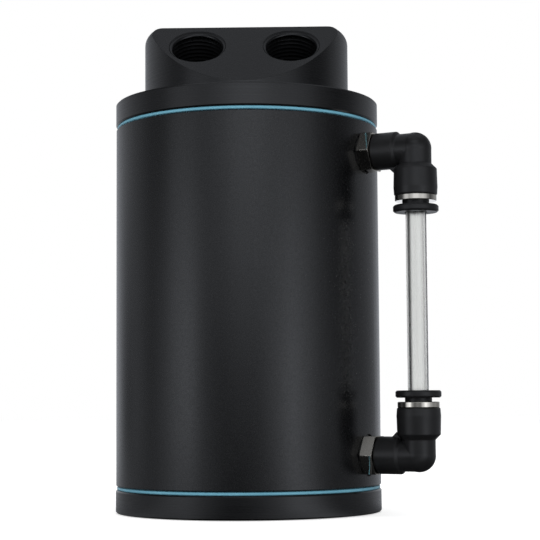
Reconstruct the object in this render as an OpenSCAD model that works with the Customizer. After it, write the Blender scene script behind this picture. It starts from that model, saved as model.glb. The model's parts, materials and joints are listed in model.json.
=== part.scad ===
// Oil catch can for a car's breather lines, with a sight tube on its side.
// The origin is on the can's axis at its base, +Z is up, and the hose ports face -Y.

/* [Body tube] */
// Outer diameter of the body tube
body_d = 80; // [70:0.5:100]
// Length of the body tube
body_l = 108; // [95:1:160]
// Wall of the body tube
body_wall = 3; // [2:0.25:4]

/* [Caps] */
// Thickness of each cap's flange
flange_t = 6.8; // [5:0.2:10]
// How far the flanges stand proud of the body tube
flange_proud = 0.1; // [0:0.05:0.5]
// Edge break on the caps and on the ends of the body tube
edge_break = 0.4; // [0.2:0.05:0.6]
// Thickness of the seal ring under each cap
seal_t = 1; // [0.6:0.1:1.5]
// How far the seal rings sit back from the surface of the body tube
seal_inset = 0.25; // [0.1:0.05:0.5]
// Length of the screwed spigot inside the body tube
spigot_l = 4.2; // [3:0.2:5]
// Wall of the screwed spigot
spigot_wall = 5; // [4:0.25:6]
// Radial gap between a screwed spigot and the body tube
spigot_gap = 0.05; // [0.03:0.01:0.1]
// Depth of the hollow in the top cap, from the end of its spigot
top_hollow = 6.6; // [5.5:0.2:8]
// Depth of the hollow in the bottom cap, from the end of its spigot
bottom_hollow = 4.4; // [4:0.2:5.2]

/* [Port boss] */
// Diameter of the boss on the top cap
boss_d = 62.5; // [58:0.1:68]
// Height of the boss above the flange
boss_h = 22.45; // [21:0.05:28]
// Rounding of the boss's top edge
boss_round = 4; // [2:0.25:5]
// Distance from the can's axis to the top edge of the sloping port face
face_setback = 10.9; // [8:0.1:12]
// Slope of the port face from level
port_tilt = 45; // [40:1:48]

/* [Ports] */
// Distance between the two port axes
port_spacing = 28; // [25:0.5:30]
// Distance down the port face to the port centres
port_drop = 10.5; // [9.6:0.1:11]
// Major diameter of the port thread
port_thread_d = 16.66; // [13.2:0.02:17]
// Depth of the port thread
port_thread_l = 12; // [10:0.5:13]
// Width of the countersink round each port
port_sink = 0.2; // [0.1:0.05:0.8]
// Diameter of the drilling from the port to the inside
passage_d = 11; // [9:0.5:11.5]
// Depth of the sloping drilling from the port face
passage_l = 16; // [15:0.5:17]

/* [Bracket holes] */
// Distance between the two bracket holes in the boss top
bracket_spacing = 30; // [20:1:34]
// Distance of the bracket holes behind the can's axis
bracket_setback = 12; // [10:0.5:14]
// Thread diameter of the bracket holes
bracket_thread_d = 6; // [5:0.5:6]
// Depth of the bracket holes
bracket_depth = 12; // [8:0.5:14]

/* [Drain] */
// Thread diameter of the drain plug
drain_thread_d = 12; // [10:0.5:14]
// Length of the drain plug's thread below its head
drain_shank_l = 5.4; // [4:0.2:7]
// Diameter of the drain plug's head
drain_head_d = 17; // [16:0.5:20]
// Height of the drain plug's head
drain_head_h = 2.2; // [1.8:0.1:2.6]
// Width across flats of the hexagon socket in the drain plug
drain_key = 6; // [5:0.5:7]
// Depth of the hexagon socket in the drain plug
drain_key_l = 4; // [3:0.2:5]
// Thickness of the drain plug's sealing washer
drain_washer_t = 1; // [0.8:0.1:1.5]
// How far the drain plug's head lies inside the base
drain_inset = 0.3; // [0.2:0.1:0.6]
// Radial gap round the drain plug's thread
drain_gap = 0.05; // [0.03:0.01:0.1]
// Radial gap round the drain plug's head
drain_head_gap = 0.5; // [0.3:0.1:1]
// Rise of the cap's inner floor from the drain hole to the rim
floor_rise = 1; // [0.5:0.1:1.5]

/* [Dip tube and baffle] */
// Outer diameter of the inlet dip tube
dip_d = 12; // [11.9:0.1:13]
// Wall of the dip tube
dip_wall = 1; // [0.6:0.1:1.4]
// Depth of the dip tube's seat in the top cap
dip_seat = 6; // [4:0.5:7]
// Height of the dip tube's mouth above the base
dip_mouth_z = 60; // [45:1:75]
// Thickness of the baffle plate
baffle_t = 1.5; // [1:0.1:3]
// Distance from the end of the top cap's spigot down to the baffle plate's underside
baffle_drop = 21.6; // [16:0.2:30]
// Diameter of the holes in the baffle plate
baffle_hole_d = 4; // [3:0.25:4.5]
// Distance between the rings of holes in the baffle plate
baffle_pitch = 7; // [6:0.25:8]
// Width across flats of the baffle's standoffs
standoff_af = 7; // [6:0.5:8]
// Thread diameter of the baffle screws and of the standoffs' studs
standoff_thread_d = 4; // [3:0.5:4]
// Length of the standoff's stud in the cap
standoff_stud_l = 5; // [4:0.5:6]
// Distance of the standoffs from the baffle's edge
standoff_edge = 6; // [5.5:0.5:8]
// Length of the baffle screws below their heads
baffle_screw_l = 8; // [6:0.5:10]
// Diameter of the baffle screws' heads
baffle_head_d = 7; // [6.5:0.25:8]
// Height of the baffle screws' heads
baffle_head_h = 2.4; // [2:0.1:3]
// Width across flats of the hexagon socket in the baffle screws
baffle_key = 2.5; // [2:0.25:3]
// Depth of the hexagon socket in the baffle screws
baffle_key_l = 1.5; // [1:0.1:1.8]
// Gap between the baffle's edge and the gauge studs as the top cap is drawn out
baffle_clear = 1.5; // [1:0.25:3]

/* [Level gauge] */
// Direction of the gauge round the can, from +X
gauge_angle = -27.3; // [-60:0.1:0]
// Gap between the top cap's spigot and the upper stud
gauge_top_gap = 0.75; // [0.3:0.05:8]
// Gap between the bottom cap's spigot and the lower stud
gauge_base_gap = 0.35; // [0.3:0.05:8]
// Distance from the body tube's surface to the sight tube's axis
gauge_reach = 16.05; // [15.5:0.1:20]
// Outer diameter of the sight tube
tube_d = 6; // [5.5:0.1:6.2]
// Wall of the sight tube
tube_wall = 1; // [0.75:0.05:1.25]

/* [Gauge studs] */
// Thread diameter of the studs
stud_thread_d = 9.7; // [8:0.1:10]
// Length of the threaded end inside the seal washer
stud_shank_l = 7; // [5:0.25:8]
// Bore through the studs
stud_bore_d = 4; // [3:0.25:4.4]
// Depth of the flat spot face on the body tube
spot_depth = 0.55; // [0.5:0.05:0.8]
// Diameter of the flat spot face on the body tube
spot_d = 12.2; // [11.8:0.1:12.6]
// Thickness of the stud's seal washer
stud_washer_t = 0.5; // [0.4:0.1:1.2]
// Diameter of the stud's seal washer
stud_washer_d = 11; // [10.6:0.1:11.4]
// Width across flats of the stud's hexagon
hex_af = 11; // [11:0.25:13]
// Thickness of the stud's hexagon
hex_t = 3.7; // [2.5:0.1:4]
// Width of the edge break on the hexagon's corners
hex_break = 0.35; // [0.2:0.05:0.6]
// Diameter of the stud's neck inside the elbow
neck_d = 7.4; // [6.6:0.1:7.6]
// Length of the stud's neck beyond the hexagon
neck_l = 7; // [6.5:0.1:7.4]
// Section diameter of the neck's O-ring
neck_ring_d = 0.85; // [0.7:0.05:0.95]

/* [Gauge elbows] */
// Diameter of the elbow's arm
arm_d = 10.9; // [10.4:0.1:11.6]
// Diameter of the elbow's bend, upright
bend_d = 9.5; // [9.2:0.1:10.2]
// How much slimmer the bend is along the arm than upright, in diameter
bend_step = 0.2; // [0.1:0.05:0.4]
// Edge break on the elbow's ends
elbow_rim = 0.5; // [0.3:0.05:0.6]
// Width of the small web in the elbow's inner corner
elbow_web_w = 1.3; // [1:0.1:2]
// Widest diameter of the barrel that holds the sight tube
barrel_d = 12.8; // [12.2:0.1:13.4]
// How much slimmer the barrel is at both ends, in diameter
barrel_taper = 0.3; // [0.1:0.05:0.5]
// Distance from the arm's axis to the widest place of the barrel
barrel_crown = 11.4; // [9:0.2:12]
// Bore of the elbow's upright passage
elbow_bore_d = 4.6; // [4.5:0.1:5]
// Start of the barrel, from the arm's axis
barrel_start = 4.5; // [4.2:0.05:4.6]
// End of the barrel, from the arm's axis
barrel_end = 13.7; // [13.4:0.1:15]
// Distance from the arm's axis to the sight tube's stop
tube_stop = 5.2; // [4:0.1:6]
// Distance from the arm's axis to the tube seal's seat
tube_seal_start = 8; // [7:0.1:8.2]
// Thickness of the tube seal
tube_seal_t = 1.8; // [1.4:0.1:2]
// Width of the tube seal's section
tube_seal_w = 1.3; // [1:0.1:1.4]
// Distance from the arm's axis to the claw's seat
claw_seat = 11; // [10.9:0.1:11.2]
// Diameter of the claw's seat
claw_seat_d = 10; // [9.8:0.1:10.4]
// Thickness of the claw
claw_t = 0.35; // [0.2:0.05:0.4]
// Number of fingers on the claw
claw_fingers = 8; // [6:1:10]
// How far the claw's fingers lean inwards along the tube
claw_lean = 0.8; // [0.6:0.05:1]

/* [Release collars] */
// Diameter of the guide ring's rim
guide_d = 12.1; // [11.6:0.1:12.6]
// Thickness of the guide ring's rim
guide_t = 1.7; // [1:0.1:1.8]
// Diameter of the release collar's sleeve
sleeve_d = 7.8; // [7.4:0.1:8]
// Radial running gap of the release collar
sleeve_gap = 0.05; // [0.03:0.01:0.08]
// Diameter of the release collar's rim
collar_d = 13.2; // [12.6:0.1:14]
// Thickness of the release collar's rim
collar_t = 2.1; // [1.4:0.05:2.2]
// Width of the slots in the release collar's nose
slot_w = 0.6; // [0.4:0.1:1]
// Width of the bevel that leads the sight tube into the collar
lead_in = 0.4; // [0.2:0.1:0.8]
// Free travel of the release collar
collar_travel = 1.05; // [1:0.05:1.25]

/* [Hidden] */
$fn = 72;

black = [0.11, 0.115, 0.12];
blue = [0.36, 0.62, 0.72];
nickel = [0.74, 0.72, 0.68];
steel = [0.62, 0.63, 0.65];
plastic = [0.09, 0.09, 0.1];
rubber = [0.05, 0.05, 0.05];
clear_plastic = [0.86, 0.88, 0.89];

// Extra depth of a cut past the face that it opens
over = 1;
// Gap between pieces that fit together and don't move
fit_gap = 0.03;
// Steps in a rounded edge
round_steps = 8;
// Edge break on small turned pieces
small_break = 0.3;
// Depth of the hexagon's edge break along the arm over its width
hex_break_slope = 0.5;

body_r = body_d / 2;
bore_r = body_r - body_wall;
flange_r = body_r + flange_proud;
spigot_r = bore_r - spigot_gap;
hollow_r = spigot_r - spigot_wall;
body_z0 = flange_t + seal_t;
body_z1 = body_z0 + body_l;
top_flange_z = body_z1 + seal_t;
boss_z = top_flange_z + flange_t;
boss_top_z = boss_z + boss_h;
boss_r = boss_d / 2;
hollow_top_z = body_z1 - spigot_l + top_hollow;
spigot_top_z = body_z0 + spigot_l;

// Centres of the port mouths and of the inner ends of the sloping drillings
mouth_y = -face_setback - port_drop * cos(port_tilt);
mouth_z = boss_top_z - port_drop * sin(port_tilt);
passage_y = mouth_y + passage_l * sin(port_tilt);
passage_z = mouth_z - passage_l * cos(port_tilt);

// Heights inside the bottom cap, from the base up
drain_head_z = drain_inset;
drain_washer_z = drain_head_z + drain_head_h;
drain_seat_z = drain_washer_z + drain_washer_t;
drain_head_r = drain_head_d / 2;
drain_thread_r = drain_thread_d / 2;
floor_rim_z = spigot_top_z - bottom_hollow;
floor_z = floor_rim_z - floor_rise;

// The baffle clears the studs' inner ends when the top cap is drawn out
stud_inner_r = body_r - spot_depth - stud_shank_l;
baffle_r = stud_inner_r - baffle_clear;
baffle_z = body_z1 - spigot_l - baffle_drop;
baffle_top_z = baffle_z + baffle_t;
standoff_ring_r = baffle_r - standoff_edge;
standoff_angles = [0, 120, 240];
dip_r = dip_d / 2;
// The upright drillings carry on the dip tube's bore
gallery_r = dip_r - dip_wall;
// Radial gap round the dip tube and the screws in the baffle
baffle_gap = 0.3;

// Distances from the can's axis along a gauge arm
spot_face_r = body_r - spot_depth;
hex_r0 = spot_face_r + stud_washer_t;
hex_r1 = hex_r0 + hex_t;
neck_r1 = hex_r1 + neck_l;
neck_r = neck_d / 2;
neck_bore_r = neck_r + fit_gap;
// The O-ring's groove is halfway along the neck
neck_ring_r = (hex_r1 + neck_r1) / 2;
groove_r = neck_bore_r - neck_ring_d;
groove_w = 1.2 * neck_ring_d;
tube_axis_r = body_r + gauge_reach;
tube_r = tube_d / 2;
arm_r = arm_d / 2;
bend_r = bend_d / 2;
// The ball at the outer corner stands just proud of the bend's upright part
ball_r = bend_r + fit_gap;
barrel_r = barrel_d / 2;
barrel_end_r = (barrel_d - barrel_taper) / 2;
seal_cavity_r = tube_r + tube_seal_w;
claw_r = claw_seat_d / 2;
guide_z0 = barrel_end;
guide_z1 = guide_z0 + guide_t;
sleeve_r = sleeve_d / 2;
guide_bore_r = sleeve_r + sleeve_gap;
collar_bore_r = tube_r + sleeve_gap;
collar_stop = 0.1;
stud_thread_r = stud_thread_d / 2;
// Heights of the two arms, each just clear of its cap's spigot
upper_arm_z = body_z1 - spigot_l - gauge_top_gap - stud_thread_r;
lower_arm_z = spigot_top_z + gauge_base_gap + stud_thread_r;
collar_z0 = guide_z1 + collar_travel + collar_stop;
collar_z1 = collar_z0 + collar_t;
sleeve_z0 = claw_seat + claw_t + collar_travel + collar_stop;

// Profile of a disc from z0 to z1 with the edge break at both rims
module broken_disc(r, z0, z1, cut) {
    rotate_extrude()
        polygon([[0, z0], [r - cut, z0], [r, z0 + cut], [r, z1 - cut], [r - cut, z1], [0, z1]]);
}

// An upright cylinder between two heights
module cylinder_from(z0, z1, r) {
    translate([0, 0, z0])
        cylinder(r = r, h = z1 - z0);
}

// A ring of rectangular section
module ring(r_in, r_out, z0, z1) {
    rotate_extrude()
        translate([r_in, z0])
            square([r_out - r_in, z1 - z0]);
}

// A cylinder whose top edge is rounded, its flat base at z = 0
module round_topped(r, h, edge) {
    arc = [for (i = [0:round_steps]) [r - edge + edge * cos(90 * i / round_steps),
                                      h - edge + edge * sin(90 * i / round_steps)]];
    rotate_extrude()
        polygon(concat([[0, 0], [r, 0]], arc, [[0, h]]));
}

// A hexagonal prism by its width across flats
module hex_prism(af, h) {
    cylinder(r = af / 2 / cos(30), h = h, $fn = 6);
}

// Puts its children on a port's axis, with +Z coming out of the mouth
module at_port(side) {
    translate([side * port_spacing / 2, mouth_y, mouth_z])
        rotate([port_tilt, 0, 0])
            children();
}

// Puts its children at each standoff of the baffle
module at_standoffs() {
    for (a = standoff_angles)
        rotate([0, 0, a])
            translate([standoff_ring_r, 0, 0])
                children();
}

// Gauge frame: +X runs out of the can along the arm and +Z points at the other fitting
module at_lower_arm() {
    rotate([0, 0, gauge_angle])
        translate([0, 0, lower_arm_z])
            children();
}

module at_upper_arm() {
    rotate([0, 0, gauge_angle])
        translate([0, 0, upper_arm_z])
            mirror([0, 0, 1])
                children();
}

// A cylinder lying along the arm, from one distance from the can's axis to another
module along_arm(r0, r1, r) {
    translate([r0, 0, 0])
        rotate([0, 90, 0])
            cylinder(r = r, h = r1 - r0);
}

module gauge_port_cut() {
    along_arm(bore_r - over - body_wall, body_r + over, stud_thread_r + fit_gap);
    along_arm(spot_face_r, body_r + over, spot_d / 2);
}

module can_body() {
    color(black)
        difference() {
            rotate_extrude()
                polygon([[bore_r, body_z0], [body_r - edge_break, body_z0], [body_r, body_z0 + edge_break],
                         [body_r, body_z1 - edge_break], [body_r - edge_break, body_z1], [bore_r, body_z1]]);
            at_lower_arm() gauge_port_cut();
            at_upper_arm() gauge_port_cut();
        }
}

// The port's thread, its countersink and its drilling
module port_cut() {
    translate([0, 0, -port_thread_l])
        cylinder(d = port_thread_d, h = port_thread_l + over);
    translate([0, 0, -port_sink])
        cylinder(r1 = port_thread_d / 2, r2 = port_thread_d / 2 + 2 * port_sink, h = 2 * port_sink);
    translate([0, 0, -passage_l])
        cylinder(d = passage_d, h = passage_l);
}

// Upright drilling from the cap's hollow to the end of a sloping one
module gallery_cut(side) {
    translate([side * port_spacing / 2, passage_y, 0])
        cylinder_from(hollow_top_z - over, passage_z + gallery_r / 2, gallery_r);
}

// The boss with its sloping port face, which ends above the flange
module boss() {
    translate([0, 0, boss_z])
        difference() {
            round_topped(boss_r, boss_h, boss_round);
            translate([0, -face_setback, boss_h])
                rotate([port_tilt, 0, 0])
                    translate([-boss_r - over, -2 * boss_r, 0])
                        cube([2 * boss_r + 2 * over, 3 * boss_r, boss_r]);
        }
}

module top_cap() {
    color(black)
        difference() {
            union() {
                broken_disc(flange_r, top_flange_z, boss_z, edge_break);
                boss();
                cylinder_from(body_z1 - spigot_l, top_flange_z + over, spigot_r);
            }
            for (side = [-1, 1]) {
                at_port(side) port_cut();
                gallery_cut(side);
                translate([side * bracket_spacing / 2, bracket_setback, boss_top_z - bracket_depth])
                    cylinder(d = bracket_thread_d, h = bracket_depth + over);
            }
            translate([0, 0, body_z1 - spigot_l - over])
                cylinder(r = hollow_r, h = top_hollow + over);
            translate([-port_spacing / 2, passage_y, hollow_top_z - over])
                cylinder(r = dip_r + fit_gap, h = dip_seat + over);
            translate([0, 0, hollow_top_z - over])
                at_standoffs()
                    cylinder(r = standoff_thread_d / 2 + fit_gap, h = standoff_stud_l + 2 * over);
        }
}

// A flat seal ring with a rounded outer edge
module cap_seal(z0) {
    r_out = body_r - seal_inset;
    rotate_extrude()
        translate([0, z0])
            union() {
                translate([spigot_r + fit_gap, 0])
                    square([r_out - seal_t / 2 - spigot_r - fit_gap, seal_t]);
                translate([r_out - seal_t / 2, seal_t / 2])
                    circle(d = seal_t, $fn = 32);
            }
}

module top_seal() {
    color(blue)
        cap_seal(body_z1);
}

module bottom_seal() {
    color(blue)
        cap_seal(flange_t);
}

module bottom_cap() {
    color(black)
        difference() {
            union() {
                broken_disc(flange_r, 0, flange_t, edge_break);
                cylinder_from(flange_t - over, spigot_top_z, spigot_r);
            }
            rotate_extrude()
                polygon([[0, floor_z], [drain_thread_r, floor_z], [hollow_r, floor_rim_z],
                         [hollow_r, spigot_top_z + over], [0, spigot_top_z + over]]);
            translate([0, 0, -over])
                cylinder(r = drain_head_r + drain_head_gap, h = drain_seat_z + over);
            cylinder(r = drain_thread_r + drain_gap, h = floor_z + over);
        }
}

module drain_plug() {
    color(nickel)
        difference() {
            union() {
                broken_disc(drain_head_r, drain_head_z, drain_washer_z, small_break);
                translate([0, 0, drain_washer_z])
                    cylinder(r = drain_thread_r, h = drain_washer_t + drain_shank_l);
            }
            translate([0, 0, drain_head_z - over])
                hex_prism(drain_key, drain_key_l + over);
        }
}

module drain_washer() {
    color(steel)
        ring(drain_thread_r + drain_gap, drain_head_r, drain_washer_z, drain_seat_z);
}

// The dip tube's mouth is cut on a slant, so that it throws the oil at the can's wall
module dip_tube() {
    color(steel)
        translate([-port_spacing / 2, passage_y, 0])
            difference() {
                ring(dip_r - dip_wall, dip_r, dip_mouth_z, hollow_top_z + dip_seat);
                translate([dip_r, 0, dip_mouth_z])
                    rotate([0, 45, 0])
                        translate([-3 * dip_d, -dip_d, -2 * dip_d])
                            cube([4 * dip_d, 2 * dip_d, 2 * dip_d]);
            }
}

// Holes lie on rings, and none comes within a hole's width of a screw or of the dip tube
module baffle_holes() {
    rings = floor((baffle_r - baffle_hole_d) / baffle_pitch);
    for (k = [0:rings])
        for (i = [0:max(6 * k - 1, 0)]) {
            a = k == 0 ? 0 : 60 * i / k + 30;
            p = [k * baffle_pitch * cos(a), k * baffle_pitch * sin(a)];
            to_dip = norm(p - [-port_spacing / 2, passage_y]);
            to_screws = min([for (s = standoff_angles) norm(p - standoff_ring_r * [cos(s), sin(s)])]);
            if (to_dip > dip_r + baffle_hole_d && to_screws > baffle_head_d / 2 + baffle_hole_d)
                translate([p[0], p[1], baffle_z - over])
                    cylinder(d = baffle_hole_d, h = baffle_t + 2 * over, $fn = 24);
        }
}

module baffle_plate() {
    color(steel)
        difference() {
            translate([0, 0, baffle_z])
                cylinder(r = baffle_r, h = baffle_t);
            translate([-port_spacing / 2, passage_y, baffle_z - over])
                cylinder(r = dip_r + baffle_gap, h = baffle_t + 2 * over);
            translate([0, 0, baffle_z - over])
                at_standoffs()
                    cylinder(r = standoff_thread_d / 2 + baffle_gap, h = baffle_t + 2 * over);
            baffle_holes();
        }
}

module baffle_standoffs() {
    color(nickel)
        at_standoffs()
            difference() {
                union() {
                    translate([0, 0, baffle_top_z])
                        hex_prism(standoff_af, hollow_top_z - baffle_top_z);
                    translate([0, 0, hollow_top_z - over])
                        cylinder(d = standoff_thread_d, h = standoff_stud_l + over);
                }
                translate([0, 0, baffle_top_z - over])
                    cylinder(r = standoff_thread_d / 2 + fit_gap, h = baffle_screw_l + 2 * over);
            }
}

module baffle_screws() {
    color(steel)
        at_standoffs()
            difference() {
                union() {
                    translate([0, 0, baffle_z])
                        mirror([0, 0, 1])
                            round_topped(baffle_head_d / 2, baffle_head_h, baffle_head_h / 2);
                    cylinder_from(baffle_z - over, baffle_z + baffle_screw_l, standoff_thread_d / 2);
                }
                translate([0, 0, baffle_z - baffle_head_h - over])
                    hex_prism(baffle_key, baffle_key_l + over);
            }
}

// Hexagon with its corners broken at both faces, lying along the arm
module stud_hex() {
    corner_r = hex_af / 2 / cos(30);
    break_l = hex_break * hex_break_slope;
    intersection() {
        translate([hex_r0, 0, 0])
            rotate([0, 90, 0])
                rotate([0, 0, 90])
                    hex_prism(hex_af, hex_t);
        translate([hex_r0, 0, 0])
            rotate([0, 90, 0])
                rotate_extrude()
                    polygon([[0, 0], [corner_r - hex_break, 0], [corner_r, break_l],
                             [corner_r, hex_t - break_l], [corner_r - hex_break, hex_t], [0, hex_t]]);
    }
}

module stud() {
    color(nickel)
        difference() {
            union() {
                along_arm(spot_face_r - stud_shank_l, hex_r0 + over, stud_thread_r);
                stud_hex();
                along_arm(hex_r1 - over, neck_r1, neck_r);
            }
            along_arm(spot_face_r - stud_shank_l - over, neck_r1 + over, stud_bore_d / 2);
            difference() {
                along_arm(neck_ring_r - groove_w / 2, neck_ring_r + groove_w / 2, neck_r + over);
                along_arm(neck_ring_r - groove_w, neck_ring_r + groove_w, groove_r);
            }
        }
}

module stud_washer() {
    color(rubber)
        translate([spot_face_r, 0, 0])
            rotate([0, 90, 0])
                ring(stud_thread_r + fit_gap, stud_washer_d / 2, 0, stud_washer_t);
}

module stud_ring() {
    color(rubber)
        translate([neck_ring_r, 0, 0])
            rotate([0, 90, 0])
                rotate_extrude()
                    translate([groove_r + neck_ring_d / 2, 0])
                        circle(d = neck_ring_d, $fn = 24);
}

// Small web in the inner corner between the arm and the barrel
module elbow_web() {
    w = elbow_web_w;
    translate([tube_axis_r - barrel_end_r, 0, arm_r])
        rotate([90, 0, 0])
            translate([0, 0, -arm_r / 3])
                linear_extrude(height = arm_r * 2 / 3)
                    polygon([[-w, -w], [w, -w], [w, w], [0, w], [-w, 0]]);
}

// The arm from the stud's hexagon to where it steps down to the bend
module elbow_arm() {
    step = arm_r - bend_r + bend_step / 2;
    end_r = tube_axis_r - bend_r;
    translate([hex_r1, 0, 0])
        rotate([0, 90, 0])
            rotate_extrude()
                polygon([[0, 0], [arm_r - elbow_rim, 0], [arm_r, elbow_rim], [arm_r, end_r - hex_r1 - step],
                         [arm_r - step, end_r - hex_r1], [0, end_r - hex_r1]]);
}

// The bend, an arm and an upright section that meet in a ball on the sight tube's axis
module elbow_bend() {
    along_arm(tube_axis_r - bend_r - over, tube_axis_r, bend_r - bend_step / 2);
    translate([tube_axis_r, 0, 0]) {
        cylinder_from(0, barrel_start + over, bend_r);
        // both poles lie inside the two sections
        rotate([0, 45, 0])
            sphere(r = ball_r);
    }
}

// The barrel, with a sloping shoulder and a slight crown
module elbow_barrel() {
    rise = barrel_end_r - bend_r;
    mouth_z = barrel_end - elbow_rim / 2;
    translate([tube_axis_r, 0, 0])
        rotate_extrude()
            polygon([[0, barrel_start], [bend_r, barrel_start], [barrel_end_r, barrel_start + rise],
                     [barrel_r, barrel_crown], [barrel_end_r, mouth_z],
                     [barrel_end_r - elbow_rim / 2, barrel_end], [0, barrel_end]]);
}

// One hollow moulding: arm, bend, and the barrel that takes the sight tube
module elbow() {
    color(plastic)
        difference() {
            union() {
                elbow_arm();
                elbow_bend();
                elbow_barrel();
                elbow_web();
            }
            along_arm(hex_r1 - over, neck_r1 + fit_gap, neck_bore_r);
            along_arm(neck_r1 - over, tube_axis_r, stud_bore_d / 2);
            translate([tube_axis_r, 0, 0]) {
                cylinder_from(-elbow_bore_d / 2, barrel_end, elbow_bore_d / 2);
                cylinder_from(tube_stop, barrel_end, tube_r + fit_gap);
                cylinder_from(tube_seal_start, barrel_end, seal_cavity_r);
                cylinder_from(claw_seat, barrel_end + over, claw_r);
            }
        }
}

module tube_seal() {
    color(rubber)
        translate([tube_axis_r, 0, 0])
            ring(tube_r + fit_gap / 2, seal_cavity_r - fit_gap,
                 tube_seal_start, tube_seal_start + tube_seal_t);
}

// Spring ring whose fingers lean into the fitting and grip the sight tube
module claw() {
    tip_r = tube_r + fit_gap;
    root_r = seal_cavity_r - fit_gap;
    color(steel)
        translate([tube_axis_r, 0, 0])
            difference() {
                rotate_extrude()
                    polygon([[tip_r, claw_seat - claw_lean], [root_r, claw_seat],
                             [claw_r - fit_gap, claw_seat], [claw_r - fit_gap, claw_seat + claw_t],
                             [root_r, claw_seat + claw_t], [tip_r, claw_seat - claw_lean + claw_t]]);
                for (i = [0:claw_fingers - 1])
                    rotate([0, 0, 360 * i / claw_fingers])
                        translate([0, -claw_t, claw_seat - 2 * claw_lean])
                            cube([root_r, 2 * claw_t, 2 * claw_lean + claw_t + over]);
            }
}

module guide_ring() {
    color(nickel)
        translate([tube_axis_r, 0, 0]) {
            ring(guide_bore_r, claw_r - fit_gap, claw_seat + claw_t, guide_z0 + guide_t / 2);
            difference() {
                broken_disc(guide_d / 2, guide_z0, guide_z1, small_break / 2);
                cylinder_from(guide_z0 - over, guide_z1 + over, guide_bore_r);
            }
        }
}

// Sleeve with a split nose that opens the claw, and a rim to press it by
module release_collar() {
    color(plastic)
        translate([tube_axis_r, 0, 0])
            difference() {
                union() {
                    cylinder_from(sleeve_z0, collar_z0 + collar_t / 2, sleeve_r);
                    broken_disc(collar_d / 2, collar_z0, collar_z1, collar_t / 5);
                }
                cylinder_from(sleeve_z0 - over, collar_z1 + over, collar_bore_r);
                translate([0, 0, collar_z1 - lead_in])
                    cylinder(r1 = collar_bore_r, r2 = collar_bore_r + 2 * lead_in, h = 2 * lead_in);
                for (a = [0, 90])
                    rotate([0, 0, a])
                        translate([-sleeve_r - over, -slot_w / 2, sleeve_z0 - over])
                            cube([2 * sleeve_r + 2 * over, slot_w, guide_z0 - sleeve_z0 + over]);
            }
}

module sight_tube() {
    color(clear_plastic)
        rotate([0, 0, gauge_angle])
            translate([tube_axis_r, 0, 0])
                ring(tube_r - tube_wall, tube_r, lower_arm_z + tube_stop, upper_arm_z - tube_stop);
}

can_body();
top_cap();
top_seal();
bottom_cap();
bottom_seal();
drain_plug();
drain_washer();
dip_tube();
baffle_plate();
baffle_standoffs();
baffle_screws();
at_upper_arm() stud();  // upper_stud
at_upper_arm() stud_washer();  // upper_stud_washer
at_upper_arm() stud_ring();  // upper_stud_ring
at_upper_arm() elbow();  // upper_elbow
at_upper_arm() tube_seal();  // upper_tube_seal
at_upper_arm() claw();  // upper_claw
at_upper_arm() guide_ring();  // upper_guide_ring
at_upper_arm() release_collar();  // upper_release_collar
at_lower_arm() stud();  // lower_stud
at_lower_arm() stud_washer();  // lower_stud_washer
at_lower_arm() stud_ring();  // lower_stud_ring
at_lower_arm() elbow();  // lower_elbow
at_lower_arm() tube_seal();  // lower_tube_seal
at_lower_arm() claw();  // lower_claw
at_lower_arm() guide_ring();  // lower_guide_ring
at_lower_arm() release_collar();  // lower_release_collar
sight_tube();
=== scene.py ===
import json
from math import cos, exp, radians, sin, tau

import bmesh
import bpy
from mathutils import Matrix, Vector


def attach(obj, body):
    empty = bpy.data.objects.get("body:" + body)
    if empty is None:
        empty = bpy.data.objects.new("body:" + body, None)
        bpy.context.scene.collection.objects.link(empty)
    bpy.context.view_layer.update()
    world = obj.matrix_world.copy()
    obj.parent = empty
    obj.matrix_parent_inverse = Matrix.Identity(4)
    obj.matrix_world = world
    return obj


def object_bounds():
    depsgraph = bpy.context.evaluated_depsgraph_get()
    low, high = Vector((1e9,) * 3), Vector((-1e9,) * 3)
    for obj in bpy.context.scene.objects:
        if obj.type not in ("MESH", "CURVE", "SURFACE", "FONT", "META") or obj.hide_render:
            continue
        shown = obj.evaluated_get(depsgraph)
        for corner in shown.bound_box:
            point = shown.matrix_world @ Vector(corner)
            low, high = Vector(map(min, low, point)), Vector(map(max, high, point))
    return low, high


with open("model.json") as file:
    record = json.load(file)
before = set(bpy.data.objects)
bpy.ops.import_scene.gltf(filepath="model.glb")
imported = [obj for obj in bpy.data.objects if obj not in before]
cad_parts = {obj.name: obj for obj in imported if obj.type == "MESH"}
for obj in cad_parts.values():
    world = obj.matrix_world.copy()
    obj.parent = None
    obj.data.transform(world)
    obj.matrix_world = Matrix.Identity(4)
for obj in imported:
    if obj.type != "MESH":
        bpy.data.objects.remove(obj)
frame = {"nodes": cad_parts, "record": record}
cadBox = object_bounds()
nodes = frame["nodes"]
mounts = {m["name"]: m for m in frame["record"]["mounts"]}
scene = bpy.context.scene
mm = 0.001
tiny = 1e-6
white = (1, 1, 1, 1)


# camera, at the place that the photo's perspective gives; angles in degrees
cameraSet = {
    "distance": 484.6 * mm,  # from the can's axis
    "height": 33.3 * mm,
    "turn": 1.95,            # how far round the can's axis it stands
    "yaw": 0.81,             # aimed a little right of the axis
    "pitch": 4.69,
    "roll": -0.39,
    "lens": 105.84,
    "sensor": 36,
    "clipStart": 0.01,
}


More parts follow.
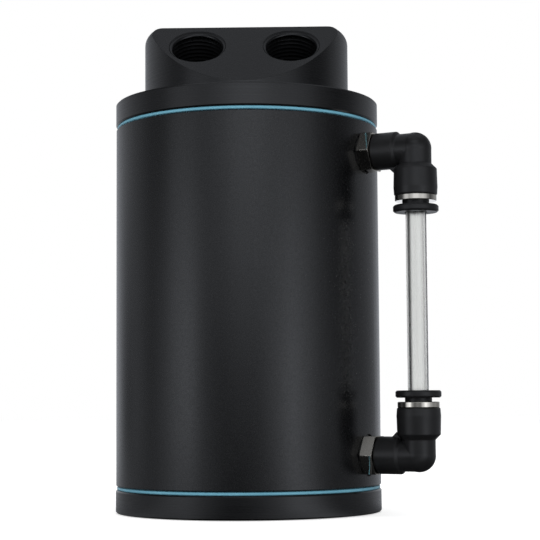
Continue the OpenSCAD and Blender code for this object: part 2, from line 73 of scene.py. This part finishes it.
def makeCamera():
    s = cameraSet
    yaw, pitch, roll = radians(s["yaw"]), radians(s["pitch"]), radians(s["roll"])
    look = Vector((sin(yaw) * cos(pitch), cos(yaw) * cos(pitch), sin(pitch)))
    right = look.cross(Vector((0, 0, 1))).normalized()
    up = right.cross(look)
    tiltedRight = right * cos(roll) + up * sin(roll)
    tiltedUp = up * cos(roll) - right * sin(roll)
    turn = Matrix.Rotation(radians(s["turn"]), 4, "Z")
    axes = Matrix((tiltedRight, tiltedUp, -look)).transposed().to_4x4()
    place = Matrix.Translation((0, -s["distance"], s["height"]))
    data = bpy.data.cameras.new("photoCamera")
    data.lens = s["lens"]
    data.sensor_width = s["sensor"]
    data.clip_start = s["clipStart"]
    camera = bpy.data.objects.new("photoCamera", data)
    scene.collection.objects.link(camera)
    camera.matrix_world = turn @ place @ axes
    scene.camera = camera


makeCamera()
print("camera placed")


# what several materials share
finishSet = {
    "noiseBand": (0.3, 0.7),      # most of a noise's values lie between these
    "bevelSamples": 6,
    "edgeBand": (0.02, 0.25),     # how far an edge's normal bends before it counts as a worn edge with a painted highlight
    "wearAndHighlightNoise": (420, 4),
    "wearAndHighlightPatches": (0.45, 0.75),
}

# the screwed ends, in the can's own heights
capThread = {
    "pitch": 1.0 * mm,
    "depth": 0.6 * mm,
    "reach": 0.2 * mm,            # how near to its radius a wall has to be
    "bore": 37.0 * mm,
    "spigot": 36.95 * mm,
    "bodyZones": ((7.9 * mm, 12.2 * mm), (111.4 * mm, 115.7 * mm)),
    "spigotZones": ((7.9 * mm, 11.8 * mm), (111.8 * mm, 115.7 * mm)),
}


# a node tree, with short ways to add to it; a noise is given as its scale, detail and roughness
class Graph:
    def __init__(self, tree):
        self.tree = tree

    def add(self, kind, settings=None, **sockets):
        node = self.tree.nodes.new("ShaderNode" + kind)
        for key, value in (settings or {}).items():
            setattr(node, key, value)
        for key, value in sockets.items():
            self.put(node.inputs[key], value)
        return node

    def put(self, socket, value):
        if isinstance(value, bpy.types.NodeSocket):
            self.tree.links.new(value, socket)
        elif isinstance(value, bpy.types.Node):
            self.tree.links.new(value.outputs[0], socket)
        else:
            socket.default_value = value

    def math(self, kind, a, b=0.0):
        node = self.add("Math", {"operation": kind})
        self.put(node.inputs[0], a)
        self.put(node.inputs[1], b)
        return node.outputs[0]

    def vectorMath(self, kind, a, b=None):
        node = self.add("VectorMath", {"operation": kind})
        self.put(node.inputs[0], a)
        if b is not None:
            self.put(node.inputs[1], b)
        return node.outputs["Value" if kind in ("LENGTH", "DOT_PRODUCT") else "Vector"]

    def noise(self, vector, scale, detail=2.0, roughness=0.5):
        node = self.add("TexNoise", Vector=vector, Scale=scale, Detail=detail, Roughness=roughness)
        return node.outputs["Fac"]

    def stretched(self, vector, scales, detail):
        # noise drawn out along the axes with the smaller scales
        return self.noise(self.add("Mapping", Vector=vector, Scale=scales), 1.0, detail)

    def spread(self, value, low, high, start=0.0, end=1.0):
        # eases from start to end while the value goes from low to high
        node = self.add("MapRange", {"interpolation_type": "SMOOTHSTEP"})
        ends = {"Value": value, "From Min": low, "From Max": high, "To Min": start, "To Max": end}
        for key, v in ends.items():
            self.put(node.inputs[key], v)
        return node.outputs["Result"]

    def blend(self, factor, a, b):
        node = self.add("Mix", {"data_type": "RGBA"})
        for k, v in ((0, factor), (6, a), (7, b)):  # the mix node's factor and its two colours
            self.put(node.inputs[k], v)
        return node.outputs[2]

    def bump(self, height, strength, distance, normal=None):
        node = self.add("Bump", Height=height, Strength=strength, Distance=distance)
        if normal is not None:
            self.put(node.inputs["Normal"], normal)
        return node.outputs["Normal"]

    def softEdge(self, radius):
        # the shading normal of an edge that is broken by this radius
        samples = {"samples": finishSet["bevelSamples"]}
        return self.add("Bevel", samples, Radius=radius).outputs["Normal"]

    def edgeMask(self, radius):
        # 1 on sharp edges, 0 on flat places
        plain = self.add("NewGeometry").outputs["Normal"]
        same = self.vectorMath("DOT_PRODUCT", self.softEdge(radius), plain)
        return self.spread(self.math("SUBTRACT", 1.0, same), *finishSet["edgeBand"])

    def wearAndEdgeHighlight(self, vector, colour, wearAndHighlight, width):
        # the colour rubs off the sharp edges in patches, and the lighter edges are also a painted
        # edge highlight
        s = finishSet
        patches = self.spread(self.noise(vector, *s["wearAndHighlightNoise"]), *s["wearAndHighlightPatches"])
        return self.blend(self.math("MULTIPLY", self.edgeMask(width), patches), colour, wearAndHighlight)

    def axisDistance(self, x, y):
        return self.vectorMath("LENGTH", self.add("CombineXYZ", X=x, Y=y))

    def turned(self, vector):
        # radius and height stand in for the lathe's travel, so the tool marks run round the axis
        x, y, z = self.add("SeparateXYZ", Vector=vector).outputs
        return self.add("CombineXYZ", X=self.axisDistance(x, y), Y=z)

    def capGrooves(self, vector, radius, zones, edge):
        # thread grooves on the round wall near this radius in these zones of height, and soft edges
        s = capThread
        x, y, z = self.add("SeparateXYZ", Vector=vector).outputs
        angle = self.math("DIVIDE", self.math("ARCTAN2", y, x), tau)
        rise = self.math("SUBTRACT", self.math("DIVIDE", z, s["pitch"]), angle)
        wave = self.math("PINGPONG", rise, 0.5)
        off = self.math("ABSOLUTE", self.math("SUBTRACT", self.axisDistance(x, y), radius))
        wave = self.math("MULTIPLY", wave, self.math("LESS_THAN", off, s["reach"]))
        inside = 0.0
        for low, high in zones:
            above, below = self.math("GREATER_THAN", z, low), self.math("LESS_THAN", z, high)
            inside = self.math("MAXIMUM", inside, self.math("MULTIPLY", above, below))
        grooves = self.math("MULTIPLY", wave, inside)
        return self.bump(grooves, 1.0, s["depth"], self.softEdge(edge))

    def boreDepth(self, vector, names, start, full, margin):
        # 0 outside these threaded holes, rising to 1 from one depth to the next inside them
        deepest = 0.0
        for name in names:
            mount = mounts[name]
            radius, length = mount["dims"]["r_mm"] * mm, mount["dims"]["length_mm"] * mm
            axis = Vector(mount["axis"])
            away = self.vectorMath("SUBTRACT", vector, Vector(mount["pos_m"]) + axis * length / 2)
            along = self.vectorMath("DOT_PRODUCT", away, -axis)
            off = self.vectorMath("LENGTH", self.vectorMath("CROSS_PRODUCT", away, axis))
            near = self.math("LESS_THAN", off, radius * margin)
            depth = self.math("MULTIPLY", near, self.spread(along, start, full))
            deepest = self.math("MAXIMUM", deepest, depth)
        return deepest


# a material on the Principled shader, with the place on the piece that its noises are drawn at
class Finish(Graph):
    def __init__(self, name):
        self.material = bpy.data.materials.new(name)
        self.material.use_nodes = True
        super().__init__(self.material.node_tree)
        self.shader = self.tree.nodes["Principled BSDF"]
        self.where = self.add("TexCoord").outputs["Object"]

    def set(self, socketName, value):
        self.put(self.shader.inputs[socketName], value)

    def vary(self, socketName, noise, ends):
        # the socket goes from the one end to the other with the noise
        self.set(socketName, self.spread(noise, *finishSet["noiseBand"], *ends))


# in all of these: a bump is its strength and depth, and edge is the radius that edges are broken by
blackBody = {
    "dark": (0.0014, 0.0015, 0.0017, 1),
    "light": (0.0031, 0.0032, 0.0036, 1),
    "cloud": (28, 3),
    "dyeBand": (0.75, 1.25),
    "grain": (3200, 3, 0.6),
    "grainBump": (0.06, 0.03 * mm),
    "edge": 0.15 * mm,
    # the edges' lighter colour: worn anodising and a painted edge highlight
    "wearAndHighlight": (0.02, 0.021, 0.022, 1),
    "wearAndHighlightWidth": 0.25 * mm,
    "mottle": (900, 4),
    "rough": (0.25, 0.28),
    "specular": (0.62, 0.78),
}


def makeBlackBody():
    s = blackBody
    f = Finish("blackBlasted")
    grain = f.noise(f.where, *s["grain"])
    cloud = f.math("ADD", f.noise(f.where, *s["cloud"]), grain)
    dye = f.blend(f.spread(cloud, *s["dyeBand"]), s["dark"], s["light"])
    f.set("Base Color", f.wearAndEdgeHighlight(f.where, dye, s["wearAndHighlight"], s["wearAndHighlightWidth"]))
    f.vary("Roughness", f.noise(f.where, *s["mottle"]), s["rough"])
    f.vary("Specular IOR Level", grain, s["specular"])
    screwed = f.capGrooves(f.where, capThread["bore"], capThread["bodyZones"], s["edge"])
    f.set("Normal", f.bump(grain, *s["grainBump"], screwed))
    return f.material


blackCaps = {
    "dark": (0.0013, 0.0014, 0.0016, 1),
    "light": (0.0028, 0.0029, 0.0033, 1),
    "cloud": (30, 3),
    "dyeBand": (0.35, 0.65),
    "lines": (5200, 2, 0.7),
    "lineBump": (0.08, 0.02 * mm),
    "grain": (4200, 2),
    "grainBump": (0.08, 0.02 * mm),
    "edge": 0.15 * mm,
    # the edges' lighter colour: worn anodising and a painted edge highlight
    "wearAndHighlight": (0.03, 0.031, 0.033, 1),
    "wearAndHighlightWidth": 0.25 * mm,
    "rough": (0.24, 0.31),
    "specular": 0.7,
    "boreStart": -1.8 * mm,  # inside the ports the sheen dies away from this depth to the next, as painted shade in the holes
    "boreFull": 8 * mm,
    "boreMargin": 1.01,      # of the thread's radius
    "boreSpecular": 0.12,
    "boreRough": 0.5,
}


def makeBlackCaps():
    s = blackCaps
    f = Finish("blackTurned")
    lines = f.noise(f.turned(f.where), *s["lines"])
    cloud = f.noise(f.where, *s["cloud"])
    dye = f.blend(f.spread(cloud, *s["dyeBand"]), s["dark"], s["light"])
    f.set("Base Color", f.wearAndEdgeHighlight(f.where, dye, s["wearAndHighlight"], s["wearAndHighlightWidth"]))
    ports = ("left_port", "right_port")
    # painted shade: deep in the ports the sheen is turned down and the surface made rougher
    paintedPortShade = f.boreDepth(f.where, ports, s["boreStart"], s["boreFull"], s["boreMargin"])
    sheen = f.spread(lines, *finishSet["noiseBand"], *s["rough"])
    f.set("Roughness", f.math("MAXIMUM", sheen, f.math("MULTIPLY", paintedPortShade, s["boreRough"])))
    f.set("Specular IOR Level", f.spread(paintedPortShade, 0, 1, s["specular"], s["boreSpecular"]))
    screwed = f.capGrooves(f.where, capThread["spigot"], capThread["spigotZones"], s["edge"])
    fine = f.bump(f.noise(f.where, *s["grain"]), *s["grainBump"], screwed)
    f.set("Normal", f.bump(lines, *s["lineBump"], fine))
    return f.material


blueSeal = {
    "dark": (0.1, 0.3, 0.41, 1),
    "light": (0.19, 0.47, 0.6, 1),
    "cloud": (180, 3),
    "mottle": (700,),
    "rough": (0.3, 0.45),
    "grain": (1500,),
    "grainBump": (0.1, 0.04 * mm),
}


def makeBlueSeal():
    s = blueSeal
    f = Finish("blueSilicone")
    f.set("Base Color", f.blend(f.noise(f.where, *s["cloud"]), s["dark"], s["light"]))
    f.vary("Roughness", f.noise(f.where, *s["mottle"]), s["rough"])
    f.set("Normal", f.bump(f.noise(f.where, *s["grain"]), *s["grainBump"]))
    return f.material


nickelPlate = {
    "dark": (0.68, 0.64, 0.57, 1),
    "light": (0.8, 0.76, 0.68, 1),
    "smudge": (120, 3),
    "rough": (0.05, 0.11),
    "scratch": ((9000, 900, 300), 3),
    "scratchBump": (0.06, 0.02 * mm),
    "edge": 0.16 * mm,
}


def makeNickel():
    s = nickelPlate
    f = Finish("nickelPlate")
    smudge = f.noise(f.where, *s["smudge"])
    scratch = f.stretched(f.where, *s["scratch"])
    f.set("Base Color", f.blend(smudge, s["dark"], s["light"]))
    f.vary("Roughness", smudge, s["rough"])
    f.set("Normal", f.bump(scratch, *s["scratchBump"], f.softEdge(s["edge"])))
    f.set("Metallic", 1)
    return f.material


brightSteel = {
    "dark": (0.42, 0.43, 0.45, 1),
    "light": (0.62, 0.63, 0.65, 1),
    "lines": (3600, 2, 0.7),
    "lineBump": (0.12, 0.03 * mm),
    "mottle": (300, 3),
    "rough": (0.24, 0.38),
}


def makeSteel():
    s = brightSteel
    f = Finish("brightSteel")
    lines = f.noise(f.turned(f.where), *s["lines"])
    f.set("Base Color", f.blend(lines, s["dark"], s["light"]))
    f.vary("Roughness", f.noise(f.where, *s["mottle"]), s["rough"])
    f.set("Normal", f.bump(lines, *s["lineBump"]))
    f.set("Metallic", 1)
    return f.material


blackPlastic = {
    "dark": (0.0068, 0.0069, 0.0074, 1),
    "light": (0.0102, 0.0104, 0.0111, 1),
    "flow": (130, 4),
    "flowBump": (0.1, 0.1 * mm),
    "grain": (5200, 2),
    "grainBump": (0.12, 0.02 * mm),
    "rough": (0.3, 0.4),
    "specular": 0.45,
    "edge": 0.45 * mm,
}


def makeBlackPlastic():
    s = blackPlastic
    f = Finish("blackMoulding")
    flow = f.noise(f.where, *s["flow"])
    f.set("Base Color", f.blend(flow, s["dark"], s["light"]))
    f.vary("Roughness", flow, s["rough"])
    soft = f.bump(flow, *s["flowBump"], f.softEdge(s["edge"]))
    f.set("Normal", f.bump(f.noise(f.where, *s["grain"]), *s["grainBump"], soft))
    f.set("Specular IOR Level", s["specular"])
    return f.material


blackRubber = {
    "dark": (0.007, 0.007, 0.007, 1),
    "light": (0.016, 0.016, 0.016, 1),
    "mottle": (900, 3),
    "mottleBump": (0.2, 0.03 * mm),
    "rough": (0.5, 0.65),
}


def makeBlackRubber():
    s = blackRubber
    f = Finish("blackRubber")
    mottle = f.noise(f.where, *s["mottle"])
    f.set("Base Color", f.blend(mottle, s["dark"], s["light"]))
    f.vary("Roughness", mottle, s["rough"])
    f.set("Normal", f.bump(mottle, *s["mottleBump"]))
    return f.material


clearTube = {
    "milky": (0.805, 0.813, 0.805, 1),
    "thin": (0.835, 0.843, 0.836, 1),
    "streak": ((700, 700, 20), 2),
    "streakBump": (0.006, 0.05 * mm),
    "rough": (0.24, 0.3),
    "ior": 1.38,
}


def makeClearTube():
    s = clearTube
    f = Finish("clearTube")
    streak = f.stretched(f.where, *s["streak"])
    f.set("Base Color", f.blend(streak, s["milky"], s["thin"]))
    f.vary("Roughness", streak, s["rough"])
    f.set("Normal", f.bump(streak, *s["streakBump"]))
    f.set("Transmission Weight", 1)
    f.set("IOR", s["ior"])
    return f.material


finishes = {
    "black_body": makeBlackBody(),
    "black_caps": makeBlackCaps(),
    "blue_seal": makeBlueSeal(),
    "nickel": makeNickel(),
    "steel": makeSteel(),
    "black_plastic": makeBlackPlastic(),
    "black_rubber": makeBlackRubber(),
    "clear_tube": makeClearTube(),
}


def dressNodes():
    for part in frame["record"]["subparts"]:
        piece = nodes[part["node"]]
        piece.data.materials.clear()
        piece.data.materials.append(finishes[part["material_slot"]])


dressNodes()
print("materials on", len(nodes), "CAD pieces")


def joinRings(bm, a, b):
    # faces between two rings of as many corners
    faces = []
    for k in range(len(a)):
        n = (k + 1) % len(a)
        faces.append(bm.faces.new((a[k], a[n], b[n], b[k])))
    return faces


def finishMesh(bm, name):
    mesh = bpy.data.meshes.new(name)
    bm.to_mesh(mesh)
    bm.free()
    return mesh


def addPiece(name, mesh, slotName, body):
    piece = bpy.data.objects.new(name, mesh)
    scene.collection.objects.link(piece)
    mesh.materials.append(finishes[slotName])
    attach(piece, body)


# female threads, as ridges that stand in from the bore's wall, and the ports' countersinks
threadSet = {
    "steps": 72,           # points in a turn
    "portPitch": 1.337 * mm,
    "bracketPitch": 1.0 * mm,
    "depthShare": 0.5,     # the ridge's depth over the pitch, and its widths at crest and root
    "crestShare": 0.115,
    "rootShare": 0.9,
    "sink": 0.05 * mm,     # how far the root lies in the wall
    "portStart": 1.3 * mm,
    "bracketStart": 0.6 * mm,
    "weld": 1e-7,
    "lip": 1.05 * mm,      # size of the countersink before a port's first thread
    "lipTop": 0.01 * mm,   # depths below the mouth, and below the cone
    "lipLand": 0.2 * mm,
    "lipFoot": 0.7 * mm,
    "lipSteps": 128,
}


def threadMesh(name, radius, pitch, length):
    s = threadSet
    root, crest = radius + s["sink"], radius - s["depthShare"] * pitch
    wide, narrow = s["rootShare"] * pitch / 2, s["crestShare"] * pitch / 2
    profile = [(root, -wide), (crest, -narrow), (crest, narrow), (root, wide)]
    halfTurn = s["steps"] / 2
    count = int((length / pitch - 1) * s["steps"])
    bm = bmesh.new()
    rings = []
    for i in range(count + 1):
        angle = tau * i / s["steps"]
        # the ridge grows out of the wall over the first and the last half turn
        fade = min(1, i / halfTurn, (count - i) / halfTurn)
        lift = pitch / 2 + pitch * i / s["steps"]
        ring = []
        for r, z in profile:
            faded = root - (root - r) * fade
            ring.append(bm.verts.new((faded * cos(angle), faded * sin(angle), lift + z)))
        rings.append(ring)
    for a, b in zip(rings, rings[1:]):
        joinRings(bm, a, b)
    bm.faces.new(rings[0])
    bm.faces.new(list(reversed(rings[-1])))
    bmesh.ops.remove_doubles(bm, verts=bm.verts, dist=s["weld"])
    bmesh.ops.recalc_face_normals(bm, faces=bm.faces)
    return finishMesh(bm, name)


def lipMesh(name, radius, length):
    # cone from the mouth's edge down to the crests of the threads
    s = threadSet
    root, crest, foot = radius + s["sink"], radius - s["lip"], s["lip"]
    profile = [(root, s["lipTop"]), (crest, foot), (crest, foot + s["lipLand"]),
               (root, foot + s["lipFoot"])]
    bm = bmesh.new()
    rings = []
    for i in range(s["lipSteps"]):
        a = tau * i / s["lipSteps"]
        places = [(r * cos(a), r * sin(a), length - depth) for r, depth in profile]
        rings.append([bm.verts.new(place) for place in places])
    for a, b in zip(rings, rings[1:] + rings[:1]):
        joinRings(bm, a, b)[0].smooth = True
    bmesh.ops.recalc_face_normals(bm, faces=bm.faces)
    return finishMesh(bm, name)


def addThreads():
    s = threadSet
    for name in ("left_port", "right_port", "left_bracket_hole", "right_bracket_hole"):
        kind = "port" if "port" in name else "bracket"
        mount = mounts[name]
        radius, length = mount["dims"]["r_mm"] * mm, mount["dims"]["length_mm"] * mm
        axis = Vector(mount["axis"]).normalized()
        turn = Vector((0, 0, 1)).rotation_difference(axis).to_matrix().to_4x4()
        place = Matrix.Translation(Vector(mount["pos_m"]) - axis * length / 2) @ turn
        thread = threadMesh(name + ".thread", radius, s[kind + "Pitch"], length - s[kind + "Start"])
        thread.transform(place)
        addPiece(name + ".thread", thread, "black_caps", "top_cap")
        if kind == "port":
            lip = lipMesh(name + ".lip", radius, length)
            lip.transform(place)
            addPiece(name + ".lip", lip, "black_caps", "top_cap")


addThreads()
print("thread ridges and port lips added")


# plain pale floor under a white surround
stageSet = {
    "floorRings": (0.002, 0.02, 0.08, 0.2, 0.5, 1.0, 2.4),
    "floorGap": 0.2 * mm,     # below the can's base
    "floorColour": (0.8, 0.8, 0.8, 1),
    "floorRough": 0.8,
    "floorSpecular": 0.1,
    "floorNoise": (300, 3),
    "floorBump": (0.02, 0.2 * mm),
    "floorLift": 0.55,        # brightness that the camera sees on top of the lit floor
    "ambient": 0.6,
    "pastMirror": 0.2,        # the surround, as the tube bends it after a reflection
    "backX": (0, 0.2),        # but it stays white where a ray leaves to the right and back
    "backY": (0.3, 0.8),
    "angleStep": 3,
}

# the studio's light tent, seen only in reflections: a round wall, its ceiling, the table's shine
tentSet = {
    "radius": 0.62,
    "wallSteps": 24,
    "ceilingShare": 0.4,      # where the ceiling's own brightness starts, over the radius
    "tint": (0.955, 0.993, 1.07),
    # angle round the can from the lens, then how bright the wall is at the first three heights
    # below; the fourth is like the third, and the fifth is the ceiling's rim
    "heights": (0.0, 0.2, 0.5, 1.05, 1.2),
    "wall": {
        -180: (1.10, 1.05, 0.43), -150: (0.62, 0.51, 0.03), -125: (0.08, 0.42, 0.03),
        -105: (0.35, 0.31, 0.03), -88: (0.23, 0.18, 0.03), -74: (0.54, 0.18, 0.03),
        -62: (1.10, 0.53, 0.03), -50: (1.56, 0.51, 0.03), -36: (0.31, 0.44, 0.03),
        -22: (0.03, 0.67, 0.03), -8: (0.07, 1.03, 0.03), 8: (0.03, 1.05, 0.03),
        22: (0.70, 0.68, 0.03), 36: (1.54, 0.55, 0.03), 50: (0.88, 0.49, 0.03),
        64: (0.48, 0.18, 0.03), 80: (0.30, 0.03, 0.17), 96: (0.31, 0.13, 0.03),
        114: (0.18, 0.31, 0.03), 135: (0.22, 0.35, 0.26), 158: (0.84, 0.51, 0.03),
    },
    # a soft window high in the wall, which the can mirrors into the hexagons' upper sides
    "window": {"angle": -4, "height": 0.74, "spread": 26, "tall": 0.15, "level": 1.3},
    "ceiling": 0.28,
    "ceilingRim": 0.3,
    "table": {
        -180: (0.83,), -115: (0.31,), -75: (0.27,), -55: (0.55,), -32: (0.36,), -8: (0.04,),
        16: (0.26,), 38: (1.05,), 60: (0.15,), 85: (0.17,), 125: (0.46,),
    },
    "tableFade": 2.0,         # how fast the table's shine falls off away from grazing
}


def wrapped(angle):
    return (angle + 180) % 360 - 180


def between(chart, angle):
    # eases from one of the chart's angles to the next, round the whole circle
    angle = wrapped(angle)
    marks = sorted(chart) + [min(chart) + 360]
    for a, b in zip(marks, marks[1:]):
        if a <= angle <= b:
            t = (angle - a) / (b - a)
            t = t * t * (3 - 2 * t)
            return [p + (q - p) * t for p, q in zip(chart[a], chart[wrapped(b)])]


def tinted(level):
    return [level * c for c in tentSet["tint"]] + [1]


def wallColour(angle, height):
    s = tentSet
    marks = s["heights"]
    chart = between(s["wall"], angle)
    chart += [chart[-1], s["ceilingRim"]]
    k = next(k for k in range(len(marks) - 1) if height <= marks[k + 1] + tiny)
    t = max(0, (height - marks[k]) / (marks[k + 1] - marks[k]))
    level = chart[k] + (chart[k + 1] - chart[k]) * t
    w = s["window"]
    aside, above = (angle - w["angle"]) / w["spread"], (height - w["height"]) / w["tall"]
    return tinted(level + w["level"] * exp(-aside ** 2 - above ** 2))


def roundCan(angle, distance, height):
    # a place from its angle round the can, which counts from the lens
    a = radians(angle + cameraSet["turn"])
    return Vector((distance * sin(a), -distance * cos(a), height))


stageAngles = range(-180, 180, stageSet["angleStep"])


def addStage(name, material, rings, closeTop=False):
    # rings of places round the can, each with its colour, joined by strips
    bm = bmesh.new()
    colour = bm.verts.layers.float_color.new("level")
    made = []
    for ring in rings:
        row = []
        for place, value in ring:
            v = bm.verts.new(place)
            v[colour] = value
            row.append(v)
        made.append(row)
    for a, b in zip(made, made[1:]):
        joinRings(bm, a, b)
    if closeTop:
        bm.faces.new(made[-1])
    piece = bpy.data.objects.new(name, finishMesh(bm, name))
    scene.collection.objects.link(piece)
    piece.data.materials.append(material)
    material.cycles.emission_sampling = "NONE"
    return piece


def levelGlow(g, strength):
    # emission in the colours that the stage's corners carry
    level = g.add("Attribute", {"attribute_name": "level"})
    return g.add("Emission", Color=level, Strength=strength)


def makeFloor():
    s = stageSet
    f = Finish("paleFloor")
    f.set("Base Color", s["floorColour"])
    f.set("Roughness", s["floorRough"])
    f.set("Specular IOR Level", s["floorSpecular"])
    f.set("Normal", f.bump(f.noise(f.where, *s["floorNoise"]), *s["floorBump"]))
    # the camera sees a paler floor, straight or through the tube
    ray = f.add("LightPath").outputs
    straight = f.math("LESS_THAN", ray["Glossy Depth"], 0.5)
    through = f.math("MULTIPLY", ray["Is Transmission Ray"], straight)
    seen = f.math("MAXIMUM", ray["Is Camera Ray"], through)
    f.set("Emission Color", white)
    f.set("Emission Strength", f.math("MULTIPLY", seen, s["floorLift"]))
    # reflections see the table's shine in its place
    grazing = f.add("LayerWeight", Blend=0.5).outputs["Facing"]
    shine = levelGlow(f, f.math("POWER", grazing, tentSet["tableFade"]))
    both = f.add("MixShader")
    mirrored = f.math("MULTIPLY", ray["Is Glossy Ray"], f.math("SUBTRACT", 1.0, seen))
    for k, v in enumerate((mirrored, f.shader, shine)):
        f.put(both.inputs[k], v)
    f.put(f.tree.nodes["Material Output"].inputs["Surface"], both)
    low = cadBox[0][2] - s["floorGap"]
    rings = [[(roundCan(a, r, low), tinted(between(tentSet["table"], a)[0])) for a in stageAngles]
             for r in s["floorRings"]]
    addStage("floor", f.material, rings)


def makeWorld():
    s = stageSet
    world = bpy.data.worlds.new("whiteSurround")
    scene.world = world
    world.use_nodes = True
    g = Graph(world.node_tree)
    back = world.node_tree.nodes["Background"]
    ray = g.add("LightPath").outputs
    aimX, aimY, _ = g.add("SeparateXYZ", Vector=g.add("TexCoord").outputs["Generated"]).outputs
    backRight = g.math("MULTIPLY", g.spread(aimX, *s["backX"]), g.spread(aimY, *s["backY"]))
    bent = g.spread(backRight, 0, 1, s["pastMirror"], 1.0)
    through = g.spread(ray["Glossy Depth"], 0, 1, 1.0, bent)
    level = g.spread(ray["Is Transmission Ray"], 0, 1, s["ambient"], through)
    back.inputs["Color"].default_value = white
    g.put(back.inputs["Strength"], g.math("MAXIMUM", ray["Is Camera Ray"], level))
    world.cycles_visibility.glossy = False


def makeTent():
    s = tentSet
    material = bpy.data.materials.new("tentCloth")
    material.use_nodes = True
    g = Graph(material.node_tree)
    g.put(material.node_tree.nodes["Material Output"].inputs["Surface"], levelGlow(g, 1.0))
    top = s["heights"][-1]
    rings = []
    for k in range(s["wallSteps"] + 1):
        z = top * k / s["wallSteps"]
        rings.append([(roundCan(a, s["radius"], z), wallColour(a, z)) for a in stageAngles])
    inner = s["ceilingShare"] * s["radius"]
    rings.append([(roundCan(a, inner, top), tinted(s["ceiling"])) for a in stageAngles])
    tent = addStage("lightTent", material, rings, closeTop=True)
    tent.visible_camera = False
    tent.visible_diffuse = False
    tent.visible_transmission = False
    tent.visible_shadow = False


# softboxes that shade the matt surfaces, each at its angle round the can from the lens
lightSet = [
    {"name": "keyBox", "angle": 22, "height": 0.42, "distance": 0.95,
     "width": 0.6, "tall": 0.6, "watts": 3.2},
    {"name": "sideBox", "angle": -62, "height": 0.3, "distance": 0.9,
     "width": 0.22, "tall": 0.7, "watts": 1.4},
    {"name": "topBox", "angle": 0, "height": 1.0, "distance": 0.05,
     "width": 0.8, "tall": 0.8, "watts": 3.0},
]


def makeLights():
    middle = Vector((0, 0, cadBox[1][2] / 2))
    for s in lightSet:
        data = bpy.data.lights.new(s["name"], "AREA")
        data.shape = "RECTANGLE"
        data.size, data.size_y = s["width"], s["tall"]
        data.energy = s["watts"]
        lamp = bpy.data.objects.new(s["name"], data)
        scene.collection.objects.link(lamp)
        lamp.location = roundCan(s["angle"], s["distance"], s["height"])
        lamp.rotation_euler = (middle - lamp.location).to_track_quat("-Z", "Y").to_euler()
        lamp.visible_glossy = False


makeFloor()
makeWorld()
makeTent()
makeLights()
scene.view_settings.view_transform = "Standard"
print("studio ready")
